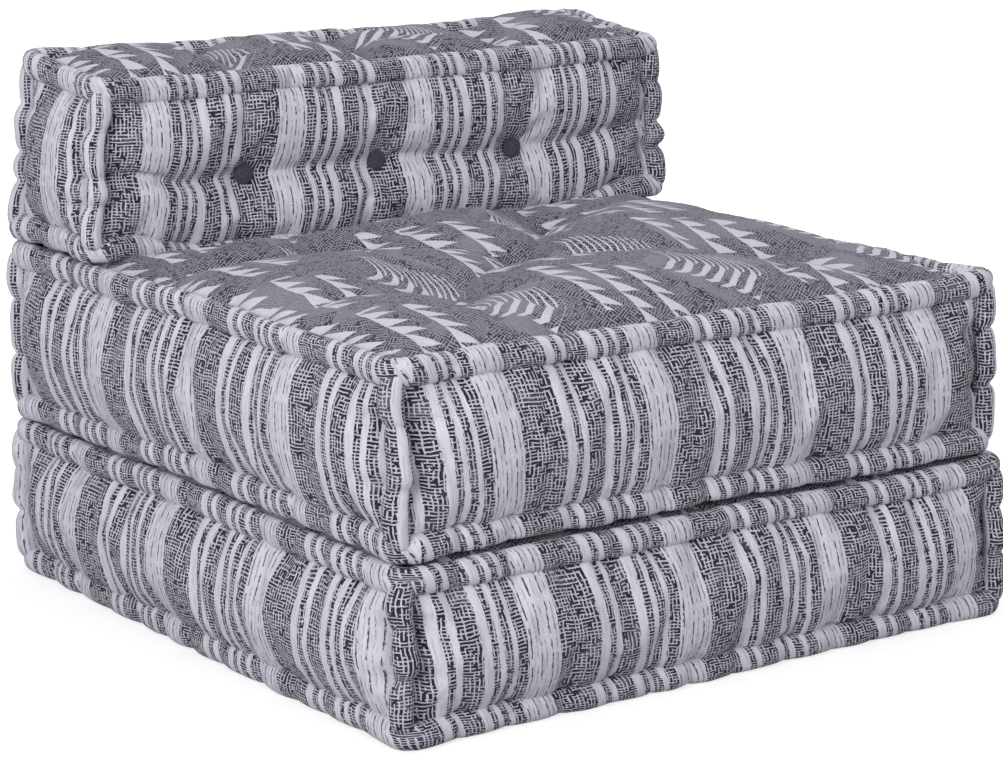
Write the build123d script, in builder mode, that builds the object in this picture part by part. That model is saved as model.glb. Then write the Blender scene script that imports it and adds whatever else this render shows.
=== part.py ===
from build123d import *
import os
from functools import cache
from math import pi, sin

# A low floor sofa: a base cushion on the floor, a seat cushion on it and a back
# cushion standing on the rear of the seat. X is the width, Y runs from the front
# to the rear, Z is up, and the origin is on the floor under the middle.

# Overall sizes of the three cushions, to the outside of their rolled edges
cushion_width = 760.0
cushion_depth = 750.0
base_height = 174.0
seat_height = 190.0
back_height = 203.0
back_depth = 186.0

# How the cushions lie on each other
stack_clearance = 0.3
lift_clearance = 1.0
roll_recess = 1.5
floor_flat = 0.5
knot_clearance = 0.3

# Rolled edges, stitched in at even waists and measured to the flats of their sections
roll_radius = 14.0
roll_waist_share = 0.8
roll_sides = 8
space_sides = 4
scallop_pitch = 58.0
roll_corner_cut = 10.0
corner_roll_radius = 11.0
corner_scallop_pitch = 48.0
corner_bow = 12.0

# Cover and stuffing
panel_thickness = 2.5
pad_depth = 12.0
soft_clearance = 0.6

# Side bands, which bulge between the rolls and are drawn in to the corners
band_bulge = 23.0
band_draw = 90.0
back_end_draw = 40.0
tufted_band_bulge = 22.0
draw_shares = [(0.0, 0.35), (0.4, 0.8), (1.0, 1.1)]
bulge_shares = [(0.0, 0.0), (0.16, 0.42), (0.42, 0.82), (0.72, 1.0)]
tufted_bulge_shares = [(0.0, 0.0), (0.16, 0.5), (0.4, 1.0), (0.7, 0.86), (1.0, 0.12)]

# Crowned and pressed panels
seat_crown = 34.0
back_crown = 22.0
back_shoulder = 50.0
foot_slope = 34.0
pressed_slope = 30.0
crown_shares = [(0.0, 0.1), (0.06, 0.5), (0.2, 0.84), (0.6, 1.0)]
back_crown_shares = [(0.0, 0.0), (0.2, 0.6), (0.45, 1.0), (0.7, 1.0), (1.0, 0.85)]
shoulder_shares = [(0.0, 0.1), (0.3, 0.6), (1.0, 1.1)]
pressed_shares = [(0.0, 0.0), (1.0, 1.0)]

# Tufts, placed as shares of the half width and the half depth of their panel
seat_tuft_shares = [(-0.46, -0.42), (0.52, -0.5), (0.0, -0.2), (-0.4, 0.21), (0.37, 0.26)]
back_tuft_shares = [-0.5, -0.04, 0.46]
middle_tuft = 2
seat_tuft_depth = 24.0
back_tuft_depth = 15.0
button_pit_depth = 8.5
pressed_tuft_depth = 8.0
seat_tuft_reach = 72.0
back_tuft_reach = 52.0
pressed_tuft_reach = 18.0
pit_sides = 6
pit_margin = 3.0
pit_shares = [(0.0, 0.0), (0.25, 0.5), (1.25, 1.15)]
pressed_pit_shares = [(0.0, 0.0), (1.25, 1.25)]

# Valleys between the seat's tufts and on to its front seam, and across the back's top
valley_depth = 11.0
valley_spread = 34.0
valley_shares = [(-1.2, 0.2), (0.0, -1.0), (1.2, 0.2)]
front_valley_shares = [(0, -0.62), (1, 0.72)]

# Twine, knots and covered buttons
twine_radius = 1.5
twine_sides = 4
twine_offset = 6.0
knot_radius = 5.0
knot_height = 3.5
button_radius = 11.0
button_rim = 3.0
button_dome = 4.0
button_sides = 10
button_dome_shares = [(0.0, 1.0), (0.6, 0.7), (1.0, 0.25)]

FRONT, REAR, LEFT, RIGHT = (0, -1, 0), (0, 1, 0), (-1, 0, 0), (1, 0, 0)
TOP, BOTTOM = (0, 0, 1), (0, 0, -1)

skin_inset = panel_thickness + soft_clearance
pressed_rise = roll_radius + roll_recess
floor_rise = roll_radius - floor_flat
seat_low = base_height + stack_clearance
back_low = seat_low + seat_height + roll_recess + stack_clearance
back_centre_y = (cushion_depth - back_depth) / 2
back_foot = cushion_depth / 2 - back_depth - lift_clearance
seat_tuft_floor = seat_crown - seat_tuft_depth
back_tuft_floor = back_crown * back_crown_shares[-1][1] - back_tuft_depth
button_floor = tufted_band_bulge * tufted_bulge_shares[-1][1] - button_pit_depth
overrun = cushion_width + cushion_depth


class Cushion:
    """The box through the rolled edges of one cushion, and the planes of its six sides."""

    def __init__(self, depth, centre_y, lowest_roll, highest_roll):
        self.half_x = cushion_width / 2 - roll_radius
        self.half_y = depth / 2 - roll_radius
        self.half_z = (highest_roll - lowest_roll) / 2
        self.middle = Vector(0, centre_y, (highest_roll + lowest_roll) / 2)

    def side(self, outward):
        """The plane of one side, facing outward, with its local x along the side."""
        facing = Vector(*outward)
        reach = Vector(facing.X * self.half_x, facing.Y * self.half_y, facing.Z * self.half_z)
        along = Vector(1, 0, 0) if facing.Z else Vector(0, 0, 1).cross(facing)
        return Plane(origin=self.middle + reach, x_dir=along, z_dir=facing)

    def half_length(self, outward):
        """Half the length of a side: the whole width, or from corner roll to corner roll."""
        if outward in (TOP, BOTTOM):
            return self.half_x
        along = self.half_y if outward in (LEFT, RIGHT) else self.half_x
        return along - roll_corner_cut / 2


def faceted_rod(stations, across, sides):
    """A rod of even-sided section, kept from as many crossed silhouettes as it has pairs of flats.

    A station is a point on the middle line and the distance from there to the flats.
    The first silhouette spreads in the direction across.
    """
    start, end = stations[0][0], stations[-1][0]
    along = (end - start).normalized()
    widest = 2 * max(size for point, size in stations)
    reach = widest + max((point - start).cross(along).length for point, size in stations)
    with BuildPart() as rod:
        for turn in range(sides // 2):
            spread = across.rotate(Axis(start, along), 360 * turn / sides)
            silhouette = Plane(origin=start, x_dir=along, z_dir=along.cross(spread))
            middles = [(silhouette.to_local_coords(point), size) for point, size in stations]
            upper = [(point.X, point.Y + size) for point, size in middles]
            lower = [(point.X, point.Y - size) for point, size in middles]
            with BuildSketch(silhouette):
                with BuildLine():
                    Polyline(upper + lower[::-1], close=True)
                make_face()
            extrude(amount=reach, both=True, mode=Mode.INTERSECT if turn else Mode.ADD)
    return rod.part


def rolled_run(before, start, end, after, radius, waist, sides):
    """One straight length of rolled edge with scallops and mitred ends."""
    along = (end - start).normalized()
    length = (end - start).length
    scallops = int(length / scallop_pitch) if waist < radius else 0
    stations = [(-radius, radius)]
    for index in range(scallops):
        if index:
            stations.append((index * length / scallops, waist))
        stations.append(((index + 0.5) * length / scallops, radius))
    stations.append((length + radius, radius))
    points = [(start + along * place, size) for place, size in stations]
    with BuildPart() as run:
        add(faceted_rod(points, Vector(0, 0, 1), sides))
        split(bisect_by=Plane(origin=start, z_dir=(start - before).normalized() + along), keep=Keep.TOP)
        split(bisect_by=Plane(origin=end, z_dir=(after - end).normalized() + along), keep=Keep.BOTTOM)
    return run.part


@cache
def rolled_loop(long_x, long_y, radius, waist, sides):
    """The rolled edge round a cushion of this half width and half depth, about the origin."""
    short_x, short_y = long_x - roll_corner_cut, long_y - roll_corner_cut
    half = [(short_x, -long_y), (long_x, -short_y), (long_x, short_y), (short_x, long_y)]
    outline = half + [(-x, -y) for x, y in half]
    points = [Vector(x, y, 0) for x, y in outline]
    count = len(points)
    runs = []
    for index in range(count):
        before, start = points[index - 1], points[index]
        end, after = points[(index + 1) % count], points[(index + 2) % count]
        runs.append(rolled_run(before, start, end, after, radius, waist, sides))
    return joined(runs)


def corner_run(cushion, side_x, side_y, radius, waist, sides):
    """One upright corner roll, bowed outward between the two rolled edges."""
    height = 2 * cushion.half_z
    scallops = int(height / corner_scallop_pitch)
    shares = [(0.0, radius)]
    for index in range(scallops):
        shares.append(((index + 0.5) / scallops, radius))
        if index < scallops - 1:
            shares.append(((index + 1) / scallops, waist))
    shares.append((1.0, radius))
    foot_x = side_x * (cushion.half_x - roll_corner_cut / 2)
    foot_y = side_y * (cushion.half_y - roll_corner_cut / 2)
    outward = Vector(side_x, side_y, 0).normalized()
    stations = []
    for share, size in shares:
        place = Vector(foot_x, foot_y, (share - 0.5) * height) + outward * corner_bow * sin(pi * share)
        stations.append((cushion.middle + place, size))
    return faceted_rod(stations, Vector(1, 0, 0), sides)


def corner_runs(cushion, radius, waist, sides):
    """The four corner rolls of a cushion."""
    return [corner_run(cushion, x, y, radius, waist, sides) for x in (-1, 1) for y in (-1, 1)]


def even_outline(half_length, draw, height, end_shares):
    """The points of an outline that rises alike from both ends."""
    near = [(place * draw - half_length, share * height) for place, share in end_shares]
    return near + [(-along, rise) for along, rise in reversed(near) if along]


def stuffed_pad(plane, along, across):
    """One stuffed side, kept from its outline along the side and its outline across it."""
    lengthwise = Plane(origin=plane.origin, x_dir=plane.x_dir, z_dir=plane.y_dir * -1)
    crosswise = Plane(origin=plane.origin, x_dir=plane.y_dir, z_dir=plane.x_dir)
    with BuildPart() as pad:
        for section, outline in ((lengthwise, along), (crosswise, across)):
            with BuildSketch(section):
                with BuildLine():
                    foot = [(outline[-1][0], -pad_depth), (outline[0][0], -pad_depth)]
                    Polyline(outline + foot, close=True)
                make_face()
            mode = Mode.ADD if section is lengthwise else Mode.INTERSECT
            extrude(amount=overrun, both=True, mode=mode)
    return pad.part


def pitted(pad, plane, tufts, shares, floor, peak, foot, reach):
    """A pad with a pit at each tuft, steep at the foot that holds a knot or button."""
    with BuildPart() as cut:
        add(pad)
        for place in tufts:
            stations = []
            for spread, rise in shares:
                point = plane.from_local_coords((place[0], place[1], floor + rise * (peak - floor)))
                stations.append((point, foot + pit_margin + spread * (reach - foot)))
            add(faceted_rod(stations, plane.x_dir, pit_sides), mode=Mode.SUBTRACT)
    return cut.part


def valley(plane, start, end, peak):
    """The space of a valley pressed into a crowned pad, from one place on it to another."""
    near = plane.from_local_coords((start[0], start[1], peak))
    far = plane.from_local_coords((end[0], end[1], peak))
    along = (far - near).normalized()
    with BuildPart() as space:
        with BuildSketch(Plane(origin=near, x_dir=plane.z_dir.cross(along), z_dir=along)):
            with BuildLine():
                section = [(side * valley_spread, rise * valley_depth) for side, rise in valley_shares]
                Polyline(section, close=True)
            make_face()
        extrude(amount=(far - near).length)
    return space.part


def plain_band(cushion, outward, draw):
    """The pad of a side band that bulges from roll to roll."""
    along = even_outline(cushion.half_length(outward), draw, band_bulge, draw_shares)
    across = even_outline(cushion.half_z, cushion.half_z, band_bulge, bulge_shares)
    return stuffed_pad(cushion.side(outward), along, across)


def tufted_band(cushion, outward, tufts):
    """The pad of a side band that buttons pinch along its middle."""
    plane = cushion.side(outward)
    peak = tufted_band_bulge
    along = even_outline(cushion.half_length(outward), band_draw, peak, draw_shares)
    across = even_outline(cushion.half_z, cushion.half_z, peak, tufted_bulge_shares)
    pad = stuffed_pad(plane, along, across)
    return pitted(pad, plane, tufts, pit_shares, button_floor, peak, button_radius, back_tuft_reach)


def pressed_pad(cushion, outward, rise, tufts):
    """The pad of a top or bottom that the next cushion or the floor presses flat."""
    plane = cushion.side(outward)
    along = even_outline(cushion.half_x, pressed_slope, rise, pressed_shares)
    across = even_outline(cushion.half_y, pressed_slope, rise, pressed_shares)
    pad = stuffed_pad(plane, along, across)
    floor = rise - pressed_tuft_depth
    return pitted(pad, plane, tufts, pressed_pit_shares, floor, rise, knot_radius, pressed_tuft_reach)


def seat_top_pad(cushion, tufts):
    """The seat's crowned top with its tufts, pressed flat under the back."""
    plane = cushion.side(TOP)
    edge = cushion.half_y
    along = even_outline(cushion.half_x, cushion.half_x, seat_crown, crown_shares)
    across = [(place * edge - edge, share * seat_crown) for place, share in crown_shares]
    across += [(back_foot - foot_slope, seat_crown), (back_foot, pressed_rise)]
    across += [(edge - pressed_slope, pressed_rise), (edge, 0.0)]
    with BuildPart() as creased:
        add(stuffed_pad(plane, along, across))
        for tuft in tufts:
            if tuft != tufts[middle_tuft]:
                add(valley(plane, tuft, tufts[middle_tuft], seat_crown), mode=Mode.SUBTRACT)
        for index, place_share in front_valley_shares:
            foot = (place_share * cushion.half_x, -edge)
            add(valley(plane, tufts[index], foot, seat_crown), mode=Mode.SUBTRACT)
    return pitted(
        creased.part, plane, tufts, pit_shares, seat_tuft_floor, seat_crown, knot_radius,
        seat_tuft_reach,
    )


def back_top_pad(cushion, tufts):
    """The back's crowned top, pinched by a row of tufts along its middle."""
    plane = cushion.side(TOP)
    along = even_outline(cushion.half_x, back_shoulder, back_crown, shoulder_shares)
    across = even_outline(cushion.half_y, cushion.half_y, back_crown, back_crown_shares)
    with BuildPart() as creased:
        add(stuffed_pad(plane, along, across))
        for x, y in tufts:
            front, rear = (x, -cushion.half_y), (x, cushion.half_y)
            add(valley(plane, front, rear, back_crown), mode=Mode.SUBTRACT)
    return pitted(
        creased.part, plane, tufts, pit_shares, back_tuft_floor, back_crown, knot_radius,
        back_tuft_reach,
    )


def joined(shapes):
    """Several shapes as one part, whether they meet or stand apart."""
    with BuildPart() as whole:
        add(shapes)
    return whole.part


def twine(start, end, radius):
    """A straight length of twine, or the space around one."""
    return faceted_rod([(start, radius), (end, radius)], Vector(1, 0, 0), twine_sides)


def tuft_tie(start, end):
    """The twine of one tuft with a knot outside each end."""
    knot = (end - start).normalized() * knot_height
    stations = [(start - knot, knot_radius), (start, knot_radius), (start, twine_radius)]
    stations += [(end, twine_radius), (end, knot_radius), (end + knot, knot_radius)]
    return faceted_rod(stations, Vector(1, 0, 0), twine_sides)


def covered_button():
    """One covered button on the origin, domed upward from its flat back."""
    stations = [(Vector(0, 0, 0), button_radius)]
    for rise, spread in button_dome_shares:
        stations.append((Vector(0, 0, button_rim + rise * button_dome), spread * button_radius))
    return faceted_rod(stations, Vector(1, 0, 0), button_sides)


def button_row(plane, places):
    """The covered buttons of one side, each with its flat back in its pit."""
    button = covered_button()
    back_face = button_floor + knot_clearance
    with BuildPart() as row:
        for x, y in places:
            with Locations(Plane(plane.from_local_coords((x, y, back_face)), plane.x_dir, plane.z_dir)):
                add(button)
    return row.part


def cover_panel(pad, plane, cutters):
    """The skin of cloth and wadding over one pad, trimmed clear of the rolls and twine."""
    with BuildPart() as skin:
        add(pad)
        with Locations(plane.z_dir * -panel_thickness):
            add(pad, mode=Mode.SUBTRACT)
        add(cutters, mode=Mode.SUBTRACT)
    return skin.part


def stuffing(cushion, pads, cutters):
    """The filling of one cushion, just inside all six panels."""
    core = 2 * (Vector(cushion.half_x, cushion.half_y, cushion.half_z) - Vector(1, 1, 1) * pad_depth)
    with BuildPart() as filling:
        with Locations(cushion.middle):
            Box(core.X, core.Y, core.Z)
        for outward, pad in pads.items():
            with Locations(Vector(*outward) * -skin_inset):
                add(pad)
        add(cutters, mode=Mode.SUBTRACT)
    return filling.part


def loop_on(cushion, outward, radius, waist, sides):
    """The rolled edge round the top or bottom of a cushion, or the space around it."""
    loop = rolled_loop(cushion.half_x, cushion.half_y, radius, waist, sides)
    with BuildPart() as copy:
        with Locations(cushion.side(outward).origin):
            add(loop)
    return copy.part


def cushion_pieces(name, cushion, pads, ties, button_ties):
    """Every piece of one cushion, from the pads of its sides and the lines of its twine."""
    wide_roll = roll_radius + soft_clearance
    wide_corner = corner_roll_radius + soft_clearance
    wide_twine = twine_radius + soft_clearance
    top_space = loop_on(cushion, TOP, wide_roll, wide_roll, space_sides)
    bottom_space = loop_on(cushion, BOTTOM, wide_roll, wide_roll, space_sides)
    corner_space = corner_runs(cushion, wide_corner, wide_corner, space_sides)
    twine_space = [twine(start, end, wide_twine) for start, end in ties]
    button_space = [twine(start, end, wide_twine) for start, end in button_ties]
    around_band = [top_space, bottom_space] + corner_space
    around = {side: around_band for side in pads}
    around[TOP] = [top_space] + twine_space
    around[BOTTOM] = [bottom_space] + twine_space
    around[FRONT] = around[REAR] = around_band + button_space
    pieces = {name + "_stuffing": stuffing(cushion, pads, around_band + twine_space + button_space)}
    for side, pad in pads.items():
        pieces[name + "_" + side_names[side]] = cover_panel(pad, cushion.side(side), around[side])
    for edge, outward in (("top", TOP), ("bottom", BOTTOM)):
        loop = loop_on(cushion, outward, roll_radius, roll_radius * roll_waist_share, roll_sides)
        pieces[name + "_" + edge + "_rolled_edge"] = loop
    corner_waist = corner_roll_radius * roll_waist_share
    with BuildPart() as corners:
        add(corner_runs(cushion, corner_roll_radius, corner_waist, roll_sides))
        add([top_space, bottom_space], mode=Mode.SUBTRACT)
    pieces[name + "_corner_rolls"] = corners.part
    pieces[name + "_tuft_ties"] = joined([tuft_tie(start, end) for start, end in ties])
    return pieces


def twine_lines(plane, tufts, near_floor, through, far_floor):
    """The lines that the twine takes through a cushion, from pit floor to pit floor."""
    near = near_floor + knot_clearance
    far = through + far_floor + knot_clearance
    return [
        (plane.from_local_coords((x, y, near)), plane.from_local_coords((x, y, -far)))
        for x, y in tufts
    ]


def pressed_ties(cushion, tufts, top_floor, bottom_rise):
    """The twine lines from the tufts of a top panel down to those of a pressed bottom."""
    bottom_floor = bottom_rise - pressed_tuft_depth
    return twine_lines(cushion.side(TOP), tufts, top_floor, 2 * cushion.half_z, bottom_floor)


def flipped(tufts):
    """The same tufts as seen from the opposite face."""
    return [(x, -y) for x, y in tufts]


side_names = {
    TOP: "top_panel",
    BOTTOM: "bottom_panel",
    FRONT: "front_band",
    REAR: "rear_band",
    LEFT: "left_band",
    RIGHT: "right_band",
}

base = Cushion(cushion_depth, 0, floor_rise, base_height - roll_recess - roll_radius)
seat = Cushion(cushion_depth, 0, seat_low + pressed_rise, seat_low + seat_height - roll_radius)
back = Cushion(
    back_depth, back_centre_y, back_low + pressed_rise, back_low + back_height - roll_radius
)

seat_tufts = [(x * seat.half_x, y * seat.half_y) for x, y in seat_tuft_shares]
button_places = [(x * back.half_x, 0.0) for x in back_tuft_shares]
back_tufts = [(x + twine_offset, y) for x, y in button_places]

base_pads = {
    TOP: pressed_pad(base, TOP, pressed_rise, seat_tufts),
    BOTTOM: pressed_pad(base, BOTTOM, floor_rise, flipped(seat_tufts)),
}
seat_pads = {
    TOP: seat_top_pad(seat, seat_tufts),
    BOTTOM: pressed_pad(seat, BOTTOM, pressed_rise, flipped(seat_tufts)),
}
for outward in (FRONT, REAR, LEFT, RIGHT):
    base_pads[outward] = plain_band(base, outward, band_draw)
    seat_pads[outward] = plain_band(seat, outward, band_draw)
back_pads = {
    TOP: back_top_pad(back, back_tufts),
    BOTTOM: pressed_pad(back, BOTTOM, pressed_rise, flipped(back_tufts)),
    FRONT: tufted_band(back, FRONT, button_places),
    REAR: tufted_band(back, REAR, button_places),
    LEFT: plain_band(back, LEFT, back_end_draw),
    RIGHT: plain_band(back, RIGHT, back_end_draw),
}

base_ties = pressed_ties(base, seat_tufts, pressed_rise - pressed_tuft_depth, floor_rise)
seat_ties = pressed_ties(seat, seat_tufts, seat_tuft_floor, pressed_rise)
back_ties = pressed_ties(back, back_tufts, back_tuft_floor, pressed_rise)
button_ties = twine_lines(
    back.side(FRONT), button_places, button_floor, 2 * back.half_y, button_floor
)

pieces = cushion_pieces("base", base, base_pads, base_ties, [])
pieces.update(cushion_pieces("seat", seat, seat_pads, seat_ties, []))
pieces.update(cushion_pieces("back", back, back_pads, back_ties, button_ties))

with BuildPart() as floor_roll:
    add(pieces["base_bottom_rolled_edge"])
    split(bisect_by=Plane.XY, keep=Keep.TOP)
pieces["base_bottom_rolled_edge"] = floor_roll.part

for side_name, outward in (("front", FRONT), ("rear", REAR)):
    pieces["back_" + side_name + "_buttons"] = button_row(back.side(outward), button_places)
pieces["back_button_ties"] = joined([twine(start, end, twine_radius) for start, end in button_ties])

os.makedirs("parts", exist_ok=True)
for name, piece in pieces.items():
    piece.label = name
    export_step(piece, "parts/" + name + ".step")
print("pieces", len(pieces), "solids", sum(len(piece.solids()) for piece in pieces.values()))
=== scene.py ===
import math
from functools import partialmethod

import bpy
import numpy as np
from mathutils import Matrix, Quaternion, Vector, noise


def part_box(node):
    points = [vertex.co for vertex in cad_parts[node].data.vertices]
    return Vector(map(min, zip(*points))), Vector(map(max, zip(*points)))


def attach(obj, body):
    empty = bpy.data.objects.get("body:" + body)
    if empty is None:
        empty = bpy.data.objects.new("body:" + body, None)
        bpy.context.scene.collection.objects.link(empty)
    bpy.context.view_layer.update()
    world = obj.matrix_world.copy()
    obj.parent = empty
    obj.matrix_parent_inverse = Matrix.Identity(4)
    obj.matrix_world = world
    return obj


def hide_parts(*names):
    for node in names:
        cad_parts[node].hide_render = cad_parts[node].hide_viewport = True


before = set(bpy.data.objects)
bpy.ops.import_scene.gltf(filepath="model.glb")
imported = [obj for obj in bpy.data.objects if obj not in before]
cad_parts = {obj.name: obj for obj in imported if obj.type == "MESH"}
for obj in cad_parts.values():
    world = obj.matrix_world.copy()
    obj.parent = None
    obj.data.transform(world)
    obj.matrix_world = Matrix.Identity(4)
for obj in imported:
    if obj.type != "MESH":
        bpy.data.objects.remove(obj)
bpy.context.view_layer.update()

# The seams wander by noise, which this seed keeps the same at every run
noise_seed = 141
noise.seed_set(noise_seed)

# Sizes that the CAD model has too, in metres
roll_radius = 0.014
corner_roll_radius = 0.011
scallop_pitch = 0.058
corner_pitch = 0.048
pressed_rise = 0.0155
floor_rise = 0.0135
back_depth = 0.186
front_valley_shares = [-0.62, 0.72]

# Cloth: the stripes repeat at this pitch, and cloth coordinates are counted in it
stripe_period = 0.178

# The camera's place and angles, which are in degrees, and its lens in millimetres
camera_place = (-1.859, -2.5744, 0.9518)
camera_azimuth = 35.885
camera_elevation = 12.83
camera_tilt = 0.07
lens_length = 110.75
sensor_width = 36.0

# Where each lamp stands, where it aims, how wide it is and its power
lamps = {
    "left": ((-3.4, -1.6, 1.7), (0, 0, 0.3), 2.2, 95),
    "front": ((-0.6, -3.6, 1.9), (0, 0, 0.3), 2.2, 40),
    "top": ((0.6, 0.4, 3.4), (0, 0, 0.3), 2.8, 20),
    "fill": ((2.8, 1.2, 1.8), (0, 0, 0.2), 2.4, 22),
}
world_light = (0.95, 0.97, 1.0)
world_strength = 0.5

# The floor's reach and grey, and how its own glow grows from near the sofa to far from it
floor_reach = 30.0
floor_grey = 0.45
glow_distances = (0.5, 2.0)
glow_strengths = (0.66, 1.0)
white = (1, 1, 1, 1)


# Shader nodes

def cleared_tree(owner):
    """The emptied node tree of a material or world."""
    owner.use_nodes = True
    owner.node_tree.nodes.clear()
    return owner.node_tree


def add_node(tree, kind, *values, **named):
    """A node with its first inputs and named ones filled, whose names have _ for a space."""
    node = tree.nodes.new("ShaderNode" + kind)
    filled = list(zip(node.inputs, values))
    filled += [(node.inputs[name.replace("_", " ")], value) for name, value in named.items()]
    for socket, value in filled:
        if isinstance(value, Term):
            value = value.socket
        if isinstance(value, bpy.types.NodeSocket):
            tree.links.new(value, socket)
        else:
            socket.default_value = value
    return node


class Term:
    """A number in a material, so that patterns can be written as sums."""

    def __init__(self, tree, socket):
        self.tree, self.socket = tree, socket

    def result(self, operation, *others):
        """What a math node makes of this number and up to two others."""
        node = add_node(self.tree, "Math", self, *others)
        node.operation = operation
        return Term(self.tree, node.outputs[0])

    __add__ = partialmethod(result, "ADD")
    __sub__ = partialmethod(result, "SUBTRACT")
    __mul__ = partialmethod(result, "MULTIPLY")
    fract = partialmethod(result, "FRACT")
    floor = partialmethod(result, "FLOOR")
    size = partialmethod(result, "ABSOLUTE")
    most = partialmethod(result, "MAXIMUM")
    below = partialmethod(result, "LESS_THAN")
    above = partialmethod(result, "GREATER_THAN")

    def __truediv__(self, other):
        return self * (1.0 / other)

    def opposite(self):
        return self * -1.0 + 1.0

    def ramp(self, low, high):
        """0 up to low and 1 from high, smooth in between."""
        node = add_node(self.tree, "MapRange", self, low, high)
        node.interpolation_type = "SMOOTHSTEP"
        return Term(self.tree, node.outputs["Result"])


# Camera, light and floor

def add_camera():
    """The camera at the photograph's place, as a long lens a good three metres away."""
    data = bpy.data.cameras.new("camera")
    data.sensor_width = sensor_width
    data.lens = lens_length
    data.dof.use_dof = False
    camera = bpy.data.objects.new("camera", data)
    camera.location = camera_place
    azimuth = math.radians(camera_azimuth)
    elevation = math.radians(camera_elevation)
    forward = Vector((
        math.sin(azimuth) * math.cos(elevation),
        math.cos(azimuth) * math.cos(elevation),
        -math.sin(elevation),
    ))
    tilt = Quaternion((0, 0, 1), math.radians(camera_tilt))
    camera.rotation_euler = (forward.to_track_quat("-Z", "Y") @ tilt).to_euler()
    bpy.context.scene.collection.objects.link(camera)
    bpy.context.scene.camera = camera


def add_lamp(name, place, target, size, power):
    """One large soft area lamp aimed at a point."""
    data = bpy.data.lights.new(name, "AREA")
    data.shape = "DISK"
    data.size = size
    data.energy = power
    lamp = bpy.data.objects.new(name, data)
    lamp.location = place
    lamp.rotation_euler = (Vector(target) - Vector(place)).to_track_quat("-Z", "Y").to_euler()
    bpy.context.scene.collection.objects.link(lamp)


def seen_directly(tree):
    """1 for rays from the camera, a mirror or glass, and 0 for rays that only carry light."""
    path = add_node(tree, "LightPath")
    kinds = ("Is Camera Ray", "Is Glossy Ray", "Is Transmission Ray")
    rays = [Term(tree, path.outputs[kind]) for kind in kinds]
    return rays[0].most(rays[1]).most(rays[2])


def add_world():
    """A plain studio world, which shows as white and lights the sofa softly."""
    world = bpy.data.worlds.new("studio")
    bpy.context.scene.world = world
    tree = cleared_tree(world)
    light = add_node(tree, "Background", world_light + (1,), world_strength)
    shown = add_node(tree, "Background", white)
    mix = add_node(tree, "MixShader", seen_directly(tree), light.outputs[0], shown.outputs[0])
    add_node(tree, "OutputWorld", mix.outputs[0])


def add_floor():
    """A white floor that keeps a pale contact shadow."""
    mesh = bpy.data.meshes.new("floor")
    reach = floor_reach
    corners = [(-reach, -reach, 0), (reach, -reach, 0), (reach, reach, 0), (-reach, reach, 0)]
    mesh.from_pydata(corners, [], [(0, 1, 2, 3)])
    floor = bpy.data.objects.new("floor", mesh)
    bpy.context.scene.collection.objects.link(floor)
    material = bpy.data.materials.new("floor")
    tree = cleared_tree(material)
    diffuse = add_node(tree, "BsdfDiffuse", (floor_grey, floor_grey, floor_grey, 1))
    place = add_node(tree, "NewGeometry")
    distance = add_node(tree, "VectorMath", place.outputs["Position"])
    distance.operation = "LENGTH"
    ends = glow_distances + glow_strengths
    farther = add_node(tree, "MapRange", distance.outputs["Value"], *ends)
    shown = seen_directly(tree) * Term(tree, farther.outputs["Result"])
    glow = add_node(tree, "Emission", white, shown)
    both = add_node(tree, "AddShader", diffuse.outputs[0], glow.outputs[0])
    add_node(tree, "OutputMaterial", both.outputs[0])
    mesh.materials.append(material)


add_camera()
add_world()
for name, (place, target, size, power) in lamps.items():
    add_lamp(name, place, target, size, power)
add_floor()
view = bpy.context.scene.view_settings
view.view_transform = "Standard"


# Cloth materials

# The finish that all cloths share
cloth_roughness = 0.9
cloth_specular = 0.15
cloth_sheen = 0.08
sheen_roughness = 0.6
bump_strength = 0.8


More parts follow.
